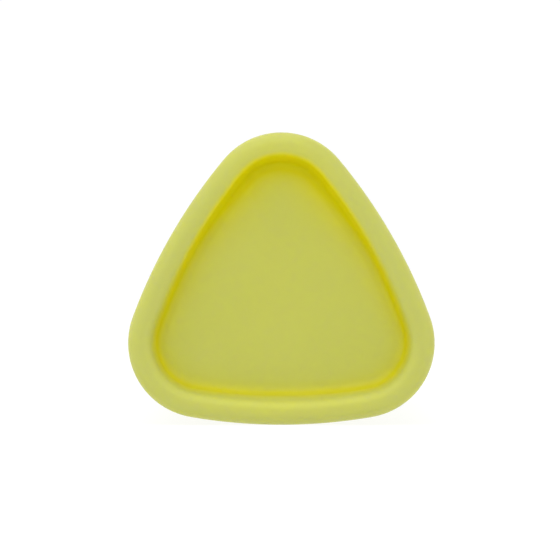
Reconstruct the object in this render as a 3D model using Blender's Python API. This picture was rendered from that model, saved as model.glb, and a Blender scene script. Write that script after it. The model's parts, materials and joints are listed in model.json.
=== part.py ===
"""A jumbo triangular twist-up crayon. It lies along Y on one of its three sides, with its turning end at -Y
and its wax tip at +Y. Sections are drawn in X and Z about the crayon's axis, with one corner up. A station
is a distance along the axis from the turning end, and an inset is a distance in from the outer skin."""

from math import atan2, copysign, cos, hypot, pi, radians, sin, sqrt, tau

import bmesh
import bpy

# Overall size.
LENGTH = 0.116
WIDTH = 0.020

# The end view: three round corners joined by three bowed sides.
CORNER_RADIUS = 0.0049
SIDE_RADIUS = 0.0349
CORNER_REACH = (WIDTH / 2 - CORNER_RADIUS) / cos(pi / 6)
SIDE_CENTRE = sqrt((SIDE_RADIUS - CORNER_RADIUS) ** 2 - 0.75 * CORNER_REACH**2) - CORNER_REACH / 2
SECTION_POINTS = 45

# Shared by the pieces.
GAP = 0.0003
WALL = 0.0015
EDGE = 0.00025

# Where the outer pieces meet.
KNOB_END = 0.0135
BARREL_START = KNOB_END + GAP
BARREL_END = 0.0900
NOSE_START = BARREL_END + GAP
NOSE_END = 0.1080

# The turning end: a round rim about a recessed panel, and a cup behind it with a socket for the screw.
RIM_RADIUS = 0.00072
RIM_STEPS = 6
RECESS_INSET = 0.00198
RECESS_DEPTH = 0.0018
CUP_FLOOR = 0.0030
BOSS_RADIUS = 0.0045
BOSS_END = 0.0090
SOCKET_WIDTH = 0.0046
SOCKET_FLOOR = 0.0039

# Ring grooves for the fingers.
GROOVE_DEPTH = 0.0003
GROOVE_WIDTH = 0.0010
KNOB_GROOVES = (0.0055, 0.0075, 0.0095)
BARREL_GROOVES = (0.0760, 0.0790, 0.0820, 0.0850)

# The screw: square drive, journal with two grooves, then a coarse left-hand thread with two starts.
LEAD = 0.0080
STARTS = 2
CREST_RADIUS = 0.0026
ROOT_RADIUS = 0.0018
SCREW_POINTS = 16
STATIONS_A_TURN = 12
DRIVE_WIDTH = SOCKET_WIDTH - 2 * GAP
DRIVE_START = SOCKET_FLOOR + GAP
JOURNAL_START = BOSS_END + GAP
JOURNAL_RADIUS = 0.0034
GROOVE_RADIUS = 0.0024
RING_GROOVE = (0.0115, 0.0131)
CLIP_GROOVE = (0.0206, 0.0216)
COLLAR_RADIUS = 0.0031
SCREW_END = 0.0735

# The bushing in the barrel's rear end, and the clip and the ring on the screw's journal.
BUSHING_START = 0.0100
BUSHING_PLUG_START = 0.0144
BUSHING_END = 0.0204
BUSHING_NECK_RADIUS = 0.0052
BUSHING_BORE = JOURNAL_RADIUS + GAP
CLIP_THICKNESS = 0.0005
CLIP_INNER = GROOVE_RADIUS + GAP
CLIP_OUTER = 0.0046
CLIP_OPENING = radians(70)
CLIP_STEPS = 24
RING_RADIUS = 0.00305
RING_THICKNESS = 0.0010
RING_SIDES = 8
RING_STEPS = 24

# The carrier and the wax, drawn where they stand at rest.
CARRIER_START = 0.0310
CUP_START = 0.0380
CARRIER_END = 0.0440
LUG_STATION = 0.0345
LUG_RADIUS = 0.00085
LUG_TIP = 0.00215
LUG_ROOT = 0.0042
LUG_SIDES = 12
COLLAR_END = LUG_STATION - 1.5 * LEAD
SCREW_CLEARANCE = CREST_RADIUS + 0.00035
WAX_RADIUS = 0.0050
WAX_BORE_END = 0.0820
WAX_SHOULDER = 0.1086
TIP_FLAT = 0.0008
TIP_ROUNDING = 0.0016
TIP_SLOPE = radians(24)
TIP_STEPS = 4

# The nose cone. Its spigot stops the carrier after four turns.
MOUTH_RADIUS = 0.0064
NOSE_BORE = WAX_RADIUS + GAP
SPIGOT_START = CARRIER_END + 4 * LEAD + GAP
NOSE_STEPS = 8

# Each finish is a colour, a roughness and a metallic value.
LEMON_PLASTIC = ((0.46, 0.47, 0.07), 0.38, 0.0)
WAX = ((0.80, 0.68, 0.03), 0.45, 0.0)
NATURAL_PLASTIC = ((0.78, 0.77, 0.72), 0.45, 0.0)
RUBBER = ((0.03, 0.03, 0.03), 0.80, 0.0)
SPRING_STEEL = ((0.55, 0.55, 0.56), 0.30, 1.0)


def clear_scene():
    for thing in list(bpy.data.objects):
        bpy.data.objects.remove(thing, do_unlink=True)


def make_material(name, finish):
    colour, roughness, metallic = finish
    material = bpy.data.materials.new(name)
    material.use_nodes = True
    shader = material.node_tree.nodes["Principled BSDF"]
    shader.inputs["Base Color"].default_value = (*colour, 1.0)
    shader.inputs["Roughness"].default_value = roughness
    shader.inputs["Metallic"].default_value = metallic
    return material


def skin_distance(angle, inset):
    """How far the skin of the rounded triangle is from the axis, at an angle from +X towards +Z."""
    from_side = (angle + pi / 2 + pi / 3) % (2 * pi / 3) - pi / 3
    corner_along = CORNER_REACH / 2
    corner_across = CORNER_REACH * sin(pi / 3)
    share = (SIDE_RADIUS - inset) / (SIDE_RADIUS - CORNER_RADIUS)
    join_along = share * (SIDE_CENTRE + corner_along) - SIDE_CENTRE
    if abs(from_side) <= atan2(share * corner_across, join_along):
        along, across, radius = -SIDE_CENTRE, 0.0, SIDE_RADIUS - inset
    else:
        along, across, radius = corner_along, copysign(corner_across, from_side), CORNER_RADIUS - inset
    middle = along * cos(from_side) + across * sin(from_side)
    return middle + sqrt(middle**2 - hypot(along, across) ** 2 + radius**2)


def section(distance_at, count=SECTION_POINTS):
    """Points about the axis as (x, z), at even angles from the top. distance_at gives each point's distance."""
    angles = [pi / 2 + i * tau / count for i in range(count)]
    return [(distance_at(angle) * cos(angle), distance_at(angle) * sin(angle)) for angle in angles]


def triangle(inset):
    return section(lambda angle: skin_distance(angle, inset))


def circle(radius):
    return section(lambda angle: radius)


def screw_circle(radius):
    return section(lambda angle: radius, SCREW_POINTS)


def screw_square(width):
    return section(lambda angle: width / 2 / max(abs(cos(angle)), abs(sin(angle))), SCREW_POINTS)


def ring(points, station):
    return [(x, station - LENGTH / 2, z) for x, z in points]


def axis_height():
    """The axis stands as high above the floor as the flat at the middle of a side is from it."""
    return -min(z for x, z in triangle(0))


def make_object(name, mesh, finish, parent):
    data = bpy.data.meshes.new(name)
    bmesh.ops.recalc_face_normals(mesh, faces=mesh.faces)
    mesh.to_mesh(data)
    mesh.free()
    data.materials.append(make_material(name, finish))
    data.shade_smooth()
    data.set_sharp_from_angle(angle=radians(28))
    thing = bpy.data.objects.new(name, data)
    thing.parent = parent
    bpy.context.collection.objects.link(thing)
    return thing


def loft(name, rings, finish, parent, tube=False):
    """Bridges each ring to the next. A tube's last ring joins its first, and any other solid is capped."""
    mesh = bmesh.new()
    loops = [[mesh.verts.new(point) for point in points] for points in rings]
    pairs = list(zip(loops, loops[1:]))
    if tube:
        pairs.append((loops[-1], loops[0]))
    else:
        mesh.faces.new(loops[0])
        mesh.faces.new(loops[-1])
    for near, far in pairs:
        for i, point in enumerate(near):
            j = (i + 1) % len(near)
            mesh.faces.new((point, near[j], far[j], far[i]))
    return make_object(name, mesh, finish, parent)


def combine(target, tool, operation):
    modifier = target.modifiers.new(tool.name, "BOOLEAN")
    modifier.operation = operation
    modifier.object = tool
    modifier.solver = "EXACT"
    tool.hide_render = True
    tool.display_type = "WIRE"


def body_empty(name):
    """The pieces of one moving body hang from an empty on the crayon's axis."""
    empty = bpy.data.objects.new(name, None)
    empty.location = (0, 0, axis_height())
    bpy.context.collection.objects.link(empty)
    return empty


def grooved(stations):
    """Rings of the outer skin that cut a shallow groove round it at each station."""
    half = GROOVE_WIDTH / 2
    rings = []
    for station in stations:
        rings.append(ring(triangle(0), station - half))
        rings.append(ring(triangle(GROOVE_DEPTH), station - half / 2))
        rings.append(ring(triangle(GROOVE_DEPTH), station + half / 2))
        rings.append(ring(triangle(0), station + half))
    return rings


def rim_rings():
    """The recessed panel's edge, its sloping wall and the round rim, from the inside out."""
    rings = [ring(triangle(RECESS_INSET), RECESS_DEPTH)]
    for i in range(RIM_STEPS + 1):
        angle = pi * i / RIM_STEPS
        rings.append(ring(triangle(RIM_RADIUS * (1 + cos(angle))), RIM_RADIUS * (1 - sin(angle))))
    return rings


def make_twist_knob(parent):
    rings = rim_rings()
    rings += grooved(KNOB_GROOVES)
    rings.append(ring(triangle(0), KNOB_END - EDGE))
    rings.append(ring(triangle(EDGE), KNOB_END))
    rings.append(ring(triangle(WALL), KNOB_END))
    rings.append(ring(triangle(WALL), CUP_FLOOR))
    rings.append(ring(circle(BOSS_RADIUS), CUP_FLOOR))
    rings.append(ring(circle(BOSS_RADIUS), BOSS_END))
    knob = loft("twist_knob", rings, LEMON_PLASTIC, parent)
    half = SOCKET_WIDTH / 2
    square = [(half, half), (-half, half), (-half, -half), (half, -half)]
    socket_rings = [ring(square, SOCKET_FLOOR), ring(square, BOSS_END + 2 * GAP)]
    socket = loft("socket_cutter", socket_rings, LEMON_PLASTIC, parent)
    combine(knob, socket, "DIFFERENCE")


def make_barrel(parent):
    rings = [ring(triangle(EDGE), BARREL_START), ring(triangle(0), BARREL_START + EDGE)]
    rings += grooved(BARREL_GROOVES)
    rings.append(ring(triangle(0), BARREL_END - EDGE))
    rings.append(ring(triangle(EDGE), BARREL_END))
    rings.append(ring(triangle(WALL), BARREL_END))
    rings.append(ring(triangle(WALL), BARREL_START))
    loft("barrel", rings, LEMON_PLASTIC, parent, tube=True)


def nose_section(share):
    """The nose's outer section, from the triangle at share 0 to the round mouth at share 1."""
    blend = 1 - cos(share * pi / 2)
    return section(lambda angle: skin_distance(angle, 0) * (1 - blend) + MOUTH_RADIUS * blend)


def make_nose_cone(parent):
    spigot = triangle(WALL + GAP)
    lip = NOSE_END - 2 * EDGE
    cone_start = NOSE_START + EDGE
    rings = [ring(spigot, SPIGOT_START), ring(spigot, NOSE_START), ring(triangle(EDGE), NOSE_START)]
    for i in range(NOSE_STEPS + 1):
        share = i / NOSE_STEPS
        rings.append(ring(nose_section(share), cone_start + share * (lip - cone_start)))
    rings.append(ring(circle(MOUTH_RADIUS - EDGE), NOSE_END))
    rings.append(ring(circle(NOSE_BORE + EDGE), NOSE_END))
    rings.append(ring(circle(NOSE_BORE), lip))
    rings.append(ring(circle(NOSE_BORE), SPIGOT_START))
    loft("nose_cone", rings, LEMON_PLASTIC, parent, tube=True)


def make_rear_bushing(parent):
    plug = triangle(WALL + GAP)
    neck = circle(BUSHING_NECK_RADIUS)
    bore = circle(BUSHING_BORE)
    rings = [ring(neck, BUSHING_START), ring(neck, BUSHING_PLUG_START)]
    rings += [ring(plug, BUSHING_PLUG_START), ring(plug, BUSHING_END)]
    rings += [ring(bore, BUSHING_END), ring(bore, BUSHING_START)]
    loft("rear_bushing", rings, NATURAL_PLASTIC, parent, tube=True)


def thread_section(station):
    """The screw's section at a station. Its crests point up and down where the carrier's lugs stand."""
    turn = (station - COLLAR_END) / LEAD * tau
    step = tau / SCREW_POINTS
    points = []
    for i in range(SCREW_POINTS):
        from_crest = (i * step + pi / STARTS) % (tau / STARTS) - pi / STARTS
        height = max(0.0, 1 - abs(from_crest) / (2 * step))
        radius = ROOT_RADIUS + (CREST_RADIUS - ROOT_RADIUS) * height
        angle = i * step + turn + pi / 2
        points.append((radius * cos(angle), radius * sin(angle)))
    return points


def make_lead_screw(parent):
    drive = screw_square(DRIVE_WIDTH)
    journal = screw_circle(JOURNAL_RADIUS)
    groove = screw_circle(GROOVE_RADIUS)
    collar = screw_circle(COLLAR_RADIUS)
    rings = [ring(drive, DRIVE_START), ring(drive, JOURNAL_START), ring(journal, JOURNAL_START)]
    for start, end in (RING_GROOVE, CLIP_GROOVE):
        rings += [ring(journal, start), ring(groove, start), ring(groove, end)]
        rings.append(ring(journal if start == RING_GROOVE[0] else collar, end))
    rings.append(ring(collar, COLLAR_END))
    count = round((SCREW_END - COLLAR_END) / LEAD * STATIONS_A_TURN)
    for i in range(count + 1):
        station = COLLAR_END + (SCREW_END - COLLAR_END) * i / count
        rings.append(ring(thread_section(station), station))
    loft("lead_screw", rings, NATURAL_PLASTIC, parent)


def make_retaining_clip(parent):
    """An open ring: one outline round both edges, extruded along the axis."""
    first = pi / 2 + CLIP_OPENING / 2
    sweep = [first + (tau - CLIP_OPENING) * i / CLIP_STEPS for i in range(CLIP_STEPS + 1)]
    outline = [(CLIP_OUTER * cos(angle), CLIP_OUTER * sin(angle)) for angle in sweep]
    outline += [(CLIP_INNER * cos(angle), CLIP_INNER * sin(angle)) for angle in reversed(sweep)]
    middle = sum(CLIP_GROOVE) / 2
    half = CLIP_THICKNESS / 2
    faces = [ring(outline, middle - half), ring(outline, middle + half)]
    loft("retaining_clip", faces, SPRING_STEEL, parent)


def make_friction_ring(parent):
    """A round section spun about the axis."""
    mesh = bmesh.new()
    middle = sum(RING_GROOVE) / 2 - LENGTH / 2
    half = RING_THICKNESS / 2
    angles = [i * tau / RING_SIDES for i in range(RING_SIDES)]
    points = [mesh.verts.new((RING_RADIUS + half * cos(a), middle + half * sin(a), 0)) for a in angles]
    edges = [mesh.edges.new((points[i - 1], points[i])) for i in range(RING_SIDES)]
    bmesh.ops.spin(
        mesh,
        geom=points + edges,
        cent=(0, 0, 0),
        axis=(0, 1, 0),
        angle=tau,
        steps=RING_STEPS,
        use_merge=True,
    )
    make_object("friction_ring", mesh, RUBBER, parent)


def make_carrier(parent):
    outer = triangle(WALL + GAP)
    led_in = triangle(WALL + GAP + EDGE)
    bore = circle(SCREW_CLEARANCE)
    cup = circle(WAX_RADIUS + GAP)
    rings = [ring(led_in, CARRIER_START), ring(outer, CARRIER_START + EDGE)]
    rings += [ring(outer, CARRIER_END - EDGE), ring(led_in, CARRIER_END)]
    rings += [ring(cup, CARRIER_END), ring(cup, CUP_START)]
    rings += [ring(bore, CUP_START), ring(bore, CARRIER_START)]
    carrier = loft("carrier", rings, NATURAL_PLASTIC, parent, tube=True)
    for side in (-1, 1):
        combine(carrier, make_lug(side, parent), "UNION")


def make_lug(side, parent):
    """A round lug that points at the axis from one side and stands in a groove of the screw."""
    angles = [i * tau / LUG_SIDES for i in range(LUG_SIDES)]
    outline = [(LUG_RADIUS * cos(angle), LUG_RADIUS * sin(angle)) for angle in angles]
    middle = LUG_STATION - LENGTH / 2
    rings = []
    for reach in (LUG_TIP, LUG_ROOT):
        rings.append([(side * reach, middle + along, up) for along, up in outline])
    return loft("lug_right" if side > 0 else "lug_left", rings, NATURAL_PLASTIC, parent)


def make_wax_stick(parent):
    """Bored for the screw from behind, with a cone and a rounded, slightly flat tip in front."""
    bore = circle(SCREW_CLEARANCE)
    full = circle(WAX_RADIUS)
    start = CUP_START + GAP
    rings = [ring(bore, WAX_BORE_END), ring(bore, start), ring(full, start), ring(full, WAX_SHOULDER)]
    for i in range(TIP_STEPS + 1):
        angle = TIP_SLOPE + (pi / 2 - TIP_SLOPE) * i / TIP_STEPS
        station = LENGTH - TIP_ROUNDING * (1 - sin(angle))
        rings.append(ring(circle(TIP_FLAT + TIP_ROUNDING * cos(angle)), station))
    loft("wax_stick", rings, WAX, parent)


def main():
    clear_scene()
    barrel_body = body_empty("barrel_body")
    knob_body = body_empty("knob_body")
    carrier_body = body_empty("carrier_body")
    make_barrel(barrel_body)
    make_nose_cone(barrel_body)
    make_rear_bushing(barrel_body)
    make_twist_knob(knob_body)
    make_lead_screw(knob_body)
    make_retaining_clip(knob_body)
    make_friction_ring(knob_body)
    make_carrier(carrier_body)
    make_wax_stick(carrier_body)


main()
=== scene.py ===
"""The looks of a jumbo triangular twist-up crayon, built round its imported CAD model. The crayon lies along Y
with its turning end towards the camera at -Y. Sections are drawn in X and Z about the crayon's axis. A
station is a distance along the axis from the turning end, and an inset is a distance in from the skin."""

import json
from math import atan2, copysign, cos, exp, hypot, pi, radians, sin, sqrt, tan, tau

import bmesh
import bpy
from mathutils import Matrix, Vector


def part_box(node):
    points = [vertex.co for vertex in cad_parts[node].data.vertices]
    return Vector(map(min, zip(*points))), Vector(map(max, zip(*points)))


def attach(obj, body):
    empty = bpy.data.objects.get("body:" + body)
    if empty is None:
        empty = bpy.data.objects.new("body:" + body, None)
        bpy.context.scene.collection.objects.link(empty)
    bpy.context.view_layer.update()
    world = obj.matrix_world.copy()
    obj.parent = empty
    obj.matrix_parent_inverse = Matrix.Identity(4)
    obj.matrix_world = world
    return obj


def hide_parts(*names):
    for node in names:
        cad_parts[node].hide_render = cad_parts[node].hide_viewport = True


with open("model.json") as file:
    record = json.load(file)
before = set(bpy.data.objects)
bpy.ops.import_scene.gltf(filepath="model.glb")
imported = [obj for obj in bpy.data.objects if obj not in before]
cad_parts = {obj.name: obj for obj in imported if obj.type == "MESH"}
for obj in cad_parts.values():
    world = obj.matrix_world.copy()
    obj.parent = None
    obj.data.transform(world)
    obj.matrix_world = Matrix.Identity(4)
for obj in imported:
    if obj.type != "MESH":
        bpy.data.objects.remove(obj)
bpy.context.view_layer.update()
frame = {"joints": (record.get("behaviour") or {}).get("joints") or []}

MM = 0.001

# Sizes that come from the frame.
KNOB_LOW, KNOB_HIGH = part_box("twist_knob")
BARREL_LOW, BARREL_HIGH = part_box("barrel")
NOSE_LOW, NOSE_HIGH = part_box("nose_cone")
WAX_LOW, WAX_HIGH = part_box("wax_stick")
BACK = KNOB_LOW.y
AXIS_HEIGHT = next(joint["pos_m"][2] for joint in frame["joints"] if joint["name"] == "knob_turn")
WIDTH = KNOB_HIGH.x - KNOB_LOW.x

# The end view: three round corners joined by three bowed sides, a hair inside the faceted CAD skin.
SKIN_CLEARANCE = 0.02 * MM
CORNER_RADIUS = 0.245 * WIDTH
SIDE_RADIUS = 1.745 * WIDTH
CORNER_REACH = (WIDTH / 2 - CORNER_RADIUS) / cos(pi / 6)
SIDE_CENTRE = sqrt((SIDE_RADIUS - CORNER_RADIUS) ** 2 - 0.75 * CORNER_REACH**2) - CORNER_REACH / 2
SECTION_POINTS = 192
ARC_STEPS = 8
WALL = 1.5 * MM

# The turning end.
RIM_WIDTH = 1.42 * MM
RIM_OUTER_ROUNDING = 0.80 * MM
RIM_INNER_ROUNDING = 0.60 * MM
RECESS_INSET = 1.98 * MM
RECESS_DEPTH = 1.8 * MM
RECESS_ROUNDING = 0.75 * MM
PANEL_MIDDLE_INSET = 4.9 * MM
CUP_FLOOR = 3.0 * MM
BOSS_RADIUS = 4.5 * MM
BOSS_END = 9.0 * MM
KNOB_GROOVES = (5.5 * MM, 7.5 * MM, 9.5 * MM)
BARREL_GROOVES = (76 * MM, 79 * MM, 82 * MM, 85 * MM)
GROOVE_DEPTH = 0.3 * MM
GROOVE_HALF_WIDTH = 0.5 * MM

# The screw: square drive, journal with two grooves, collar, then a coarse left-hand thread with two starts.
LEAD = 8 * MM
DRIVE_HALF_WIDTH = 2 * MM
DRIVE_SQUARENESS = 14
JOURNAL_START = 9.3 * MM
RING_GROOVE = (11.5 * MM, 13.1 * MM)
CLIP_GROOVE = (20.6 * MM, 21.6 * MM)
THREAD_START = 22.5 * MM
THREAD_RUN_OUT = 0.8 * MM
CREST_RADIUS = 2.6 * MM
ROOT_RADIUS = 1.8 * MM
JOURNAL_RADIUS = 3.4 * MM
COLLAR_RADIUS = 3.1 * MM
GROOVE_RADIUS = 2.4 * MM
SCREW_POINTS = 96
STATIONS_A_TURN = 40

# The pieces round the screw.
PLUG_INSET = 1.82 * MM
BUSHING_SHOULDER = 14.4 * MM
BUSHING_NECK_RADIUS = 5.18 * MM
BUSHING_BORE = 3.7 * MM
CLIP_INNER = 2.7 * MM
CLIP_OUTER = 4.58 * MM
CLIP_HALF_OPENING = radians(36)
CLIP_THICKNESS = 0.5 * MM
FRICTION_RING_RADIUS = 3.05 * MM
FRICTION_RING_THICKNESS = 0.98 * MM
CARRIER_BORE = 2.95 * MM
CUP_RADIUS = 5.3 * MM
CUP_START = 38 * MM
LUG_RADIUS = 0.84 * MM
LUG_STATION = 34.5 * MM
LUG_TIP = 2.17 * MM
LUG_ROOT = 3.2 * MM

# The wax, and the nose that it slides in.
WAX_RADIUS = 4.99 * MM
WAX_BORE = 2.95 * MM
WAX_BORE_END = 82 * MM
WAX_SHOULDER = 108.5 * MM
WAX_TIP_RADIUS = 2.0 * MM
NOSE_BORE = 5.3 * MM
NOSE_MOUTH = 6.38 * MM
NOSE_LIP = 0.5 * MM
NOSE_LIP_ROUNDING = 0.48 * MM
NOSE_STEPS = 48

# The camera looks straight at the turning end.
VIEW_DISTANCE = 0.300
VIEW_WIDTH = 1.817 * WIDTH
SENSOR = 36.0


def skin_distance(angle, inset):
    """How far the skin of the rounded triangle is from the axis, at an angle from +X towards +Z."""
    inset = inset + SKIN_CLEARANCE
    from_side = (angle + pi / 2 + pi / 3) % (2 * pi / 3) - pi / 3
    corner_along = CORNER_REACH / 2
    corner_across = CORNER_REACH * sin(pi / 3)
    share = (SIDE_RADIUS - inset) / (SIDE_RADIUS - CORNER_RADIUS)
    join_along = share * (SIDE_CENTRE + corner_along) - SIDE_CENTRE
    if abs(from_side) <= atan2(share * corner_across, join_along):
        along, across, radius = -SIDE_CENTRE, 0.0, SIDE_RADIUS - inset
    else:
        along, across, radius = corner_along, copysign(corner_across, from_side), CORNER_RADIUS - inset
    middle = along * cos(from_side) + across * sin(from_side)
    return middle + sqrt(middle**2 - hypot(along, across) ** 2 + radius**2)


def triangle_ring(inset, station):
    return ring(lambda angle: skin_distance(angle, inset), station)


def circle_ring(radius, station):
    return ring(lambda angle: radius, station)


def ring(distance_at, station, count=SECTION_POINTS, turn=0.0):
    """A section about the axis, turned from the way that distance_at draws it."""
    points = []
    for i in range(count):
        angle = i * tau / count
        distance = distance_at(angle)
        points.append(on_axis(distance * cos(angle + turn), distance * sin(angle + turn), station))
    return points


def on_axis(across, up, station):
    return (across, BACK + station, AXIS_HEIGHT + up)


def rounded(corners):
    """A path with an arc at each corner. Each corner is (across, along, radius)."""
    path = [Vector(corners[0][:2])]
    for before, corner, after in zip(corners, corners[1:], corners[2:]):
        here = Vector(corner[:2])
        back = (Vector(before[:2]) - here).normalized()
        on = (Vector(after[:2]) - here).normalized()
        half_turn = (pi - back.angle(on)) / 2
        if corner[2] == 0 or half_turn < 0.01:
            path.append(here)
            continue
        centre = here + (back + on).normalized() * corner[2] / cos(half_turn)
        first = here + back * corner[2] * tan(half_turn) - centre
        turn = copysign(2 * half_turn, back.cross(first))
        for i in range(ARC_STEPS + 1):
            angle = turn * i / ARC_STEPS
            arm_across = first.x * cos(angle) - first.y * sin(angle)
            arm_along = first.x * sin(angle) + first.y * cos(angle)
            path.append(centre + Vector((arm_across, arm_along)))
    path.append(Vector(corners[-1][:2]))
    return path


def divided(path, spacing):
    """The same path with extra points, so that none are further apart than the spacing."""
    points = [path[0]]
    for start, end in zip(path, path[1:]):
        count = max(1, round((end - start).length / spacing))
        points += [start.lerp(end, (i + 1) / count) for i in range(count)]
    return points


def groove_corners(stations):
    corners = []
    for station in stations:
        corners.append((0, station - GROOVE_HALF_WIDTH, 0.15 * MM))
        corners.append((GROOVE_DEPTH, station - GROOVE_HALF_WIDTH / 3, 0.18 * MM))
        corners.append((GROOVE_DEPTH, station + GROOVE_HALF_WIDTH / 3, 0.18 * MM))
        corners.append((0, station + GROOVE_HALF_WIDTH, 0.15 * MM))
    return corners


def loft(name, rings, body, node, material, tube=False):
    """Bridges each ring to the next. A tube's last ring joins its first, and any other piece is capped."""
    mesh = bmesh.new()
    loops = [[mesh.verts.new(point) for point in points] for points in rings]
    pairs = list(zip(loops, loops[1:]))
    if tube:
        pairs.append((loops[-1], loops[0]))
    else:
        mesh.faces.new(loops[0])
        mesh.faces.new(loops[-1])
    for near, far in pairs:
        for i, point in enumerate(near):
            j = (i + 1) % len(near)
            mesh.faces.new((point, near[j], far[j], far[i]))
    bmesh.ops.recalc_face_normals(mesh, faces=mesh.faces)
    data = bpy.data.meshes.new(name)
    mesh.to_mesh(data)
    mesh.free()
    data.shade_smooth()
    data.set_sharp_from_angle(angle=radians(40))
    data.materials.append(material)
    piece = bpy.data.objects.new(name, data)
    bpy.context.scene.collection.objects.link(piece)
    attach(piece, body)
    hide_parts(node)
    return piece


def share_between(first, last, value):
    """How far a value is from the first to the last, from 0 to 1."""
    return min(1.0, max(0.0, (value - first) / (last - first)))


def painted_corner_shade_weight(across, along, angle):
    """How much painted shade tints a point in the recess's corner, from 0 to 1: a deep yellow painted where
    the corner is shaded. The painted shade is a wide band under the top corner, where no light comes from
    above, and a thin one along the bottom."""
    if along > RECESS_DEPTH + 0.01 * MM:
        return 0.0
    up = sin(angle)
    height = (up + 1) / 2
    start = (1.60 - 0.42 * height) * MM
    full = start + 0.38 * MM
    hold = full + (0.10 + 0.75 * max(0.0, up) ** 4) * MM
    fade = (0.31 + 0.50 * height) * MM
    most = min(1.0, 0.8 + 0.4 * height)
    rise = share_between(start, full, across)
    return most * rise * rise * (3 - 2 * rise) * exp(-max(0.0, across - hold) / fade)


def painted_rim_sheen_shade_weight(across, along, angle):
    """How much painted sheen and shade tints the rim's rounded top at a point of its profile, from 0 to 1: a
    paler, bluer and darker colour painted in for the sheen and shade that light gives it. Along the bottom and
    round the top corner only its outer edge is tinted."""
    shallow = max(0.0, 1 - along / (1.1 * MM))
    on_rim = share_between(1.75 * MM, 1.35 * MM, across)
    inner = share_between(0.35 * MM, 0.90 * MM, across)
    upright = max(-sin(angle), sin(angle) ** 3, 0.0) ** 2
    return shallow * on_rim * (0.8 - 0.6 * inner * upright)


def make_knob(material):
    face = rounded(
        [
            (PANEL_MIDDLE_INSET, RECESS_DEPTH, 0),
            (RECESS_INSET, RECESS_DEPTH, RECESS_ROUNDING),
            (RIM_WIDTH, 0, RIM_INNER_ROUNDING),
            (0, 0, RIM_OUTER_ROUNDING),
            *groove_corners(KNOB_GROOVES),
            (0, KNOB_HIGH.y - BACK, 0.25 * MM),
            (WALL, KNOB_HIGH.y - BACK, 0.2 * MM),
            (WALL, CUP_FLOOR, 0),
        ]
    )
    face = divided(face, 0.25 * MM)
    rings = [triangle_ring(across, along) for across, along in face]
    rings.append(circle_ring(BOSS_RADIUS, CUP_FLOOR))
    rings.append(circle_ring(BOSS_RADIUS, BOSS_END))
    knob = loft("knob_shell", rings, "knob", "twist_knob", material)
    angles = [i * tau / SECTION_POINTS for i in range(SECTION_POINTS)]
    # Both weights are painted light: painted shade in the recess's corner, painted sheen and shade on the rim.
    for name, weight_at in (("painted_corner_shade", painted_corner_shade_weight), ("painted_rim_sheen_shade", painted_rim_sheen_shade_weight)):
        weights = [weight_at(across, along, angle) for across, along in face for angle in angles]
        attribute = knob.data.attributes.new(name, "FLOAT", "POINT")
        attribute.data.foreach_set("value", weights + [0.0] * 2 * SECTION_POINTS)
    return knob


def make_barrel(material):
    start = BARREL_LOW.y - BACK
    end = BARREL_HIGH.y - BACK
    outside = rounded(
        [
            (WALL, start, 0),
            (0, start, 0.25 * MM),
            *groove_corners(BARREL_GROOVES),
            (0, end, 0.25 * MM),
            (WALL, end, 0),
        ]
    )
    rings = [triangle_ring(across, along) for across, along in divided(outside, 2 * MM)]
    return loft("barrel_shell", rings, "barrel", "barrel", material, tube=True)


def nose_ring(share, station):
    """The nose's section, from the triangle at share 0 to the round mouth at share 1."""
    blend = 1 - cos(share * pi / 2)
    return ring(lambda angle: skin_distance(angle, 0) * (1 - blend) + NOSE_MOUTH * blend, station)


def make_nose(material):
    spigot = 1.8 * MM
    spigot_start = NOSE_LOW.y - BACK
    shoulder = BARREL_HIGH.y - BACK + 0.3 * MM
    end = NOSE_HIGH.y - BACK
    lip = end - NOSE_LIP
    edge = 0.25 * MM
    rings = [triangle_ring(spigot, spigot_start), triangle_ring(spigot, shoulder)]
    shoulder_edge = rounded([(spigot, shoulder, 0), (0, shoulder, edge), (0, shoulder + edge, 0)])
    rings += [triangle_ring(across, along) for across, along in shoulder_edge[1:-1]]
    for i in range(1, NOSE_STEPS + 1):
        share = i / NOSE_STEPS
        rings.append(nose_ring(share, shoulder + edge + share * (lip - shoulder - edge)))
    half_thickness = (NOSE_MOUTH - NOSE_BORE) / 2
    for i in range(1, ARC_STEPS):
        angle = pi * i / ARC_STEPS
        radius = NOSE_BORE + half_thickness + half_thickness * cos(angle)
        rings.append(circle_ring(radius, lip + NOSE_LIP_ROUNDING * sin(angle)))
    rings.append(circle_ring(NOSE_BORE, lip))
    rings.append(circle_ring(NOSE_BORE, spigot_start))
    return loft("nose_shell", rings, "barrel", "nose_cone", material, tube=True)


def make_wax(material):
    start = WAX_LOW.y - BACK
    end = WAX_HIGH.y - BACK
    profile = rounded(
        [
            (WAX_BORE, WAX_BORE_END, 0),
            (WAX_BORE, start, 0.3 * MM),
            (WAX_RADIUS, start, 0.3 * MM),
            (WAX_RADIUS, WAX_SHOULDER, 1.5 * MM),
            (WAX_TIP_RADIUS, end, 1.4 * MM),
            (0.05 * MM, end, 0),
        ]
    )
    rings = [circle_ring(across, along) for across, along in divided(profile, 1 * MM)]
    return loft("wax_core", rings, "wax", "wax_stick", material)


def make_bushing(material):
    low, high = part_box("rear_bushing")
    start = low.y - BACK
    end = high.y - BACK
    shoulder = BUSHING_SHOULDER
    edge = 0.2 * MM
    rings = [circle_ring(BUSHING_BORE, start), circle_ring(BUSHING_NECK_RADIUS - edge, start)]
    rings += [circle_ring(BUSHING_NECK_RADIUS, start + edge), circle_ring(BUSHING_NECK_RADIUS, shoulder)]
    rings += [triangle_ring(PLUG_INSET + edge, shoulder), triangle_ring(PLUG_INSET, shoulder + edge)]
    rings += [triangle_ring(PLUG_INSET, end - edge), triangle_ring(PLUG_INSET + edge, end)]
    rings.append(circle_ring(BUSHING_BORE, end))
    loft("bushing_body", rings, "barrel", "rear_bushing", material, tube=True)


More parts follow.
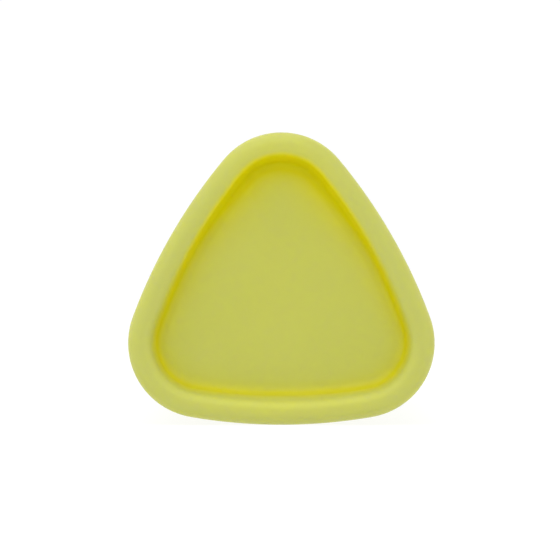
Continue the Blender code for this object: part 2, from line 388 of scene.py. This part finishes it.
def drive_distance(angle):
    """A square with slightly rounded corners."""
    total = abs(cos(angle)) ** DRIVE_SQUARENESS + abs(sin(angle)) ** DRIVE_SQUARENESS
    return DRIVE_HALF_WIDTH / total ** (1 / DRIVE_SQUARENESS)


def thread_distance(angle):
    """The thread's section: two ridges with rounded crests and a round root between them."""
    from_crest = abs(angle % pi - pi / 2)
    rise = min(1.0, max(0.0, (1 - from_crest / (pi / 4)) / 0.75))
    return ROOT_RADIUS + (CREST_RADIUS - ROOT_RADIUS) * rise * rise * (3 - 2 * rise)


def make_screw(material):
    low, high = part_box("lead_screw")
    start = low.y - BACK
    end = high.y - BACK
    edge = 0.15 * MM
    outline = [
        (2.9 * MM, JOURNAL_START, 0),
        (JOURNAL_RADIUS, JOURNAL_START, edge),
        (JOURNAL_RADIUS, RING_GROOVE[0], edge),
        (GROOVE_RADIUS, RING_GROOVE[0], edge),
        (GROOVE_RADIUS, RING_GROOVE[1], edge),
        (JOURNAL_RADIUS, RING_GROOVE[1], edge),
        (JOURNAL_RADIUS, CLIP_GROOVE[0], edge),
        (GROOVE_RADIUS, CLIP_GROOVE[0], edge),
        (GROOVE_RADIUS, CLIP_GROOVE[1], edge),
        (COLLAR_RADIUS, CLIP_GROOVE[1], edge),
        (COLLAR_RADIUS, THREAD_START, edge),
        (CREST_RADIUS + 0.05 * MM, THREAD_START, 0),
    ]
    rings = [ring(lambda angle: 0.9 * drive_distance(angle), start, SCREW_POINTS)]
    rings += [ring(drive_distance, station, SCREW_POINTS) for station in (start + edge, JOURNAL_START)]
    for radius, station in rounded(outline):
        rings.append(ring(lambda angle: radius, station, SCREW_POINTS))
    count = round((end - THREAD_START) / LEAD * STATIONS_A_TURN)
    for i in range(count + 1):
        station = THREAD_START + (end - THREAD_START) * i / count
        taper = 1 - 0.25 * max(0.0, 1 - (end - station) / THREAD_RUN_OUT) ** 2
        turn = (station - THREAD_START) / LEAD * tau
        rings.append(ring(lambda angle: taper * thread_distance(angle), station, SCREW_POINTS, turn))
    loft("screw_body", rings, "knob", "lead_screw", material)


def clip_outline(inset, station):
    """An open ring with round ends and its opening at the top."""
    middle = (CLIP_INNER + CLIP_OUTER) / 2
    end_radius = (CLIP_OUTER - CLIP_INNER) / 2
    first = pi / 2 + CLIP_HALF_OPENING + end_radius / middle
    sweep = tau - 2 * (first - pi / 2)
    steps = 72
    outside = [first + sweep * i / steps for i in range(steps + 1)]
    points = [((CLIP_OUTER - inset) * cos(a), (CLIP_OUTER - inset) * sin(a)) for a in outside]
    points += clip_end(middle, end_radius - inset, first + sweep, 1)
    points += [((CLIP_INNER + inset) * cos(a), (CLIP_INNER + inset) * sin(a)) for a in reversed(outside)]
    points += clip_end(middle, end_radius - inset, first, -1)
    return [on_axis(across, up, station) for across, up in points]


def clip_end(middle, radius, angle, way):
    """A half circle round one end, from the outer edge to the inner one for the far end."""
    points = []
    for i in range(1, ARC_STEPS):
        turn = angle + pi * i / ARC_STEPS if way > 0 else angle + pi + pi * i / ARC_STEPS
        points.append((middle * cos(angle) + radius * cos(turn), middle * sin(angle) + radius * sin(turn)))
    return points


def make_clip(material):
    low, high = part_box("retaining_clip")
    middle = (low.y + high.y) / 2 - BACK
    half = CLIP_THICKNESS / 2
    edge = 0.08 * MM
    rings = [clip_outline(edge, middle - half), clip_outline(0, middle - half + edge)]
    rings += [clip_outline(0, middle + half - edge), clip_outline(edge, middle + half)]
    loft("clip_body", rings, "knob", "retaining_clip", material)


def make_friction_ring(material):
    low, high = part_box("friction_ring")
    middle = (low.y + high.y) / 2 - BACK
    half = FRICTION_RING_THICKNESS / 2
    angles = [i * tau / 24 for i in range(24)]
    rings = [circle_ring(FRICTION_RING_RADIUS + half * cos(a), middle + half * sin(a)) for a in angles]
    loft("friction_ring_body", rings, "knob", "friction_ring", material, tube=True)


def make_carrier(material):
    low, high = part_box("carrier")
    start = low.y - BACK
    end = high.y - BACK
    edge = 0.25 * MM
    rings = [circle_ring(CARRIER_BORE, start), triangle_ring(PLUG_INSET + edge, start)]
    rings += [triangle_ring(PLUG_INSET, start + edge), triangle_ring(PLUG_INSET, end - edge)]
    rings += [triangle_ring(PLUG_INSET + edge, end), circle_ring(CUP_RADIUS, end)]
    rings += [circle_ring(CUP_RADIUS, CUP_START), circle_ring(CARRIER_BORE, CUP_START)]
    loft("carrier_body", rings, "wax", "carrier", material, tube=True)
    make_lug("lug_left", -1, material)
    make_lug("lug_right", 1, material)


def make_lug(name, side, material):
    """A round lug that points at the axis and stands in a groove of the screw."""
    steps = 48
    edge = 0.12 * MM
    rings = []
    for reach, radius in ((LUG_TIP, LUG_RADIUS - edge), (LUG_TIP + edge, LUG_RADIUS), (LUG_ROOT, LUG_RADIUS)):
        angles = [i * tau / steps for i in range(steps)]
        rings.append([on_axis(side * reach, radius * sin(a), LUG_STATION + radius * cos(a)) for a in angles])
    loft(name, rings, "wax", "carrier", material)


def new_material(name):
    material = bpy.data.materials.new(name)
    material.use_nodes = True
    return material, material.node_tree.nodes, material.node_tree.links


def noise(nodes, links, scale, detail):
    where = nodes.new("ShaderNodeTexCoord")
    texture = nodes.new("ShaderNodeTexNoise")
    texture.inputs["Scale"].default_value = scale
    texture.inputs["Detail"].default_value = detail
    links.new(where.outputs["Object"], texture.inputs["Vector"])
    return texture.outputs["Fac"]


def spread(nodes, links, value, low, high):
    """Maps the middle of a noise onto a range of values."""
    node = nodes.new("ShaderNodeMapRange")
    node.inputs["From Min"].default_value = 0.3
    node.inputs["From Max"].default_value = 0.7
    node.inputs["To Min"].default_value = low
    node.inputs["To Max"].default_value = high
    links.new(value, node.inputs["Value"])
    return node.outputs["Result"]


def mixed(nodes, links, factor, first, second):
    node = nodes.new("ShaderNodeMix")
    node.data_type = "RGBA"
    links.new(factor, node.inputs["Factor"])
    for socket, colour in ((node.inputs[6], first), (node.inputs[7], second)):
        if isinstance(colour, tuple):
            socket.default_value = (*colour, 1)
        else:
            links.new(colour, socket)
    return node.outputs[2]


def bumped(nodes, links, height, distance, shader):
    bump = nodes.new("ShaderNodeBump")
    bump.inputs["Distance"].default_value = distance
    bump.inputs["Strength"].default_value = 1.0
    links.new(height, bump.inputs["Height"])
    links.new(bump.outputs["Normal"], shader.inputs["Normal"])


def tinted(nodes, links, colour, attribute_name, tint):
    attribute = nodes.new("ShaderNodeAttribute")
    attribute.attribute_name = attribute_name
    return mixed(nodes, links, attribute.outputs["Fac"], colour, tint)


def lemon_plastic(name, with_painted_light=False):
    material, nodes, links = new_material(name)
    shader = nodes["Principled BSDF"]
    clouds = spread(nodes, links, noise(nodes, links, 260, 3), 0, 1)
    colour = mixed(nodes, links, clouds, (0.482, 0.494, 0.110), (0.488, 0.499, 0.113))
    if with_painted_light:
        # Painted sheen and shade: a paler, darker tint over the rim's rounded top.
        colour = tinted(nodes, links, colour, "painted_rim_sheen_shade", (0.425, 0.446, 0.140))
        # Painted shade: a deep yellow in the recess's corner, where shade falls.
        colour = tinted(nodes, links, colour, "painted_corner_shade", (0.63, 0.575, 0.0))
    links.new(colour, shader.inputs["Base Color"])
    links.new(spread(nodes, links, noise(nodes, links, 900, 4), 0.39, 0.42), shader.inputs["Roughness"])
    shader.inputs["Specular Tint"].default_value = (1.0, 1.0, 0.15, 1)
    shader.inputs["Subsurface Weight"].default_value = 1.0
    shader.inputs["Subsurface Scale"].default_value = 1.8 * MM
    shader.inputs["Subsurface Radius"].default_value = (1.0, 0.90, 0.10)
    bumped(nodes, links, noise(nodes, links, 5200, 2), 0.004 * MM, shader)
    return material


def wax_material():
    material, nodes, links = new_material("wax")
    shader = nodes["Principled BSDF"]
    clouds = spread(nodes, links, noise(nodes, links, 700, 5), 0, 1)
    colour = mixed(nodes, links, clouds, (0.81, 0.68, 0.022), (0.85, 0.73, 0.036))
    links.new(colour, shader.inputs["Base Color"])
    links.new(spread(nodes, links, noise(nodes, links, 1600, 5), 0.42, 0.55), shader.inputs["Roughness"])
    shader.inputs["Subsurface Weight"].default_value = 1.0
    shader.inputs["Subsurface Scale"].default_value = 1.0 * MM
    shader.inputs["Subsurface Radius"].default_value = (1.0, 0.8, 0.1)
    bumped(nodes, links, noise(nodes, links, 900, 5), 0.02 * MM, shader)
    return material


def natural_plastic():
    material, nodes, links = new_material("natural_plastic")
    shader = nodes["Principled BSDF"]
    clouds = spread(nodes, links, noise(nodes, links, 300, 3), 0, 1)
    colour = mixed(nodes, links, clouds, (0.60, 0.59, 0.53), (0.64, 0.63, 0.57))
    links.new(colour, shader.inputs["Base Color"])
    links.new(spread(nodes, links, noise(nodes, links, 1200, 3), 0.38, 0.50), shader.inputs["Roughness"])
    bumped(nodes, links, noise(nodes, links, 4000, 2), 0.004 * MM, shader)
    return material


def rubber():
    material, nodes, links = new_material("rubber")
    shader = nodes["Principled BSDF"]
    clouds = spread(nodes, links, noise(nodes, links, 1500, 4), 0, 1)
    colour = mixed(nodes, links, clouds, (0.018, 0.018, 0.018), (0.035, 0.034, 0.033))
    links.new(colour, shader.inputs["Base Color"])
    links.new(spread(nodes, links, noise(nodes, links, 2500, 3), 0.65, 0.85), shader.inputs["Roughness"])
    return material


def spring_steel():
    material, nodes, links = new_material("spring_steel")
    shader = nodes["Principled BSDF"]
    shader.inputs["Metallic"].default_value = 1.0
    clouds = spread(nodes, links, noise(nodes, links, 2200, 5), 0, 1)
    colour = mixed(nodes, links, clouds, (0.50, 0.50, 0.51), (0.60, 0.60, 0.61))
    links.new(colour, shader.inputs["Base Color"])
    links.new(spread(nodes, links, noise(nodes, links, 5000, 3), 0.22, 0.38), shader.inputs["Roughness"])
    return material


def make_floor():
    bpy.ops.mesh.primitive_plane_add(size=3.0, location=(0, 0, 0))
    floor = bpy.context.object
    floor.name = "floor"
    material, nodes, _ = new_material("floor")
    shader = nodes["Principled BSDF"]
    shader.inputs["Base Color"].default_value = (0.16, 0.16, 0.16, 1)
    shader.inputs["Roughness"].default_value = 0.9
    shader.inputs["Specular IOR Level"].default_value = 0.0
    shader.inputs["Emission Color"].default_value = (1, 1, 1, 1)
    shader.inputs["Emission Strength"].default_value = 0.89
    floor.data.materials.append(material)


def make_lights():
    """The world is white round the horizon and a little darker overhead."""
    world = bpy.data.worlds.new("studio")
    bpy.context.scene.world = world
    world.use_nodes = True
    nodes, links = world.node_tree.nodes, world.node_tree.links
    where = nodes.new("ShaderNodeTexCoord")
    split = nodes.new("ShaderNodeSeparateXYZ")
    links.new(where.outputs["Generated"], split.inputs["Vector"])
    level = nodes.new("ShaderNodeMapRange")
    level.inputs["From Min"].default_value = 0.56
    level.inputs["From Max"].default_value = 0.72
    level.inputs["To Min"].default_value = 1.02
    level.inputs["To Max"].default_value = 0.78
    links.new(split.outputs["Z"], level.inputs["Value"])
    links.new(level.outputs["Result"], nodes["Background"].inputs["Strength"])
    nodes["Background"].inputs["Color"].default_value = (1, 1, 1, 1)
    make_softbox("top_light", 0.60, 1.0, (-0.10, -0.10, 0.50))
    make_softbox("front_light", 0.60, 2.45, (-0.10, BACK - 0.75, 0.65))


def make_softbox(name, size, power, place):
    """A square area light that faces the middle of the crayon."""
    data = bpy.data.lights.new(name, "AREA")
    data.size = size
    data.energy = power
    light = bpy.data.objects.new(name, data)
    light.location = place
    target = Vector((0, 0, AXIS_HEIGHT))
    light.rotation_euler = (Vector(place) - target).to_track_quat("Z", "Y").to_euler()
    bpy.context.scene.collection.objects.link(light)


def make_camera():
    data = bpy.data.cameras.new("camera")
    data.sensor_width = SENSOR
    data.lens = SENSOR * VIEW_DISTANCE / VIEW_WIDTH
    data.clip_start = 0.01
    camera = bpy.data.objects.new("camera", data)
    middle = (KNOB_LOW.z + KNOB_HIGH.z) / 2
    camera.location = (-0.0045 * WIDTH, BACK - VIEW_DISTANCE, middle - 0.0050 * WIDTH)
    camera.rotation_euler = (pi / 2, 0, 0)
    bpy.context.scene.collection.objects.link(camera)
    bpy.context.scene.camera = camera


make_camera()
make_lights()
make_floor()
make_knob(lemon_plastic("knob_plastic", with_painted_light=True))
body_plastic = lemon_plastic("body_plastic")
make_barrel(body_plastic)
make_nose(body_plastic)
make_wax(wax_material())
natural = natural_plastic()
make_bushing(natural)
make_screw(natural)
make_clip(spring_steel())
make_friction_ring(rubber())
make_carrier(natural)
bpy.context.scene.view_settings.view_transform = "Standard"
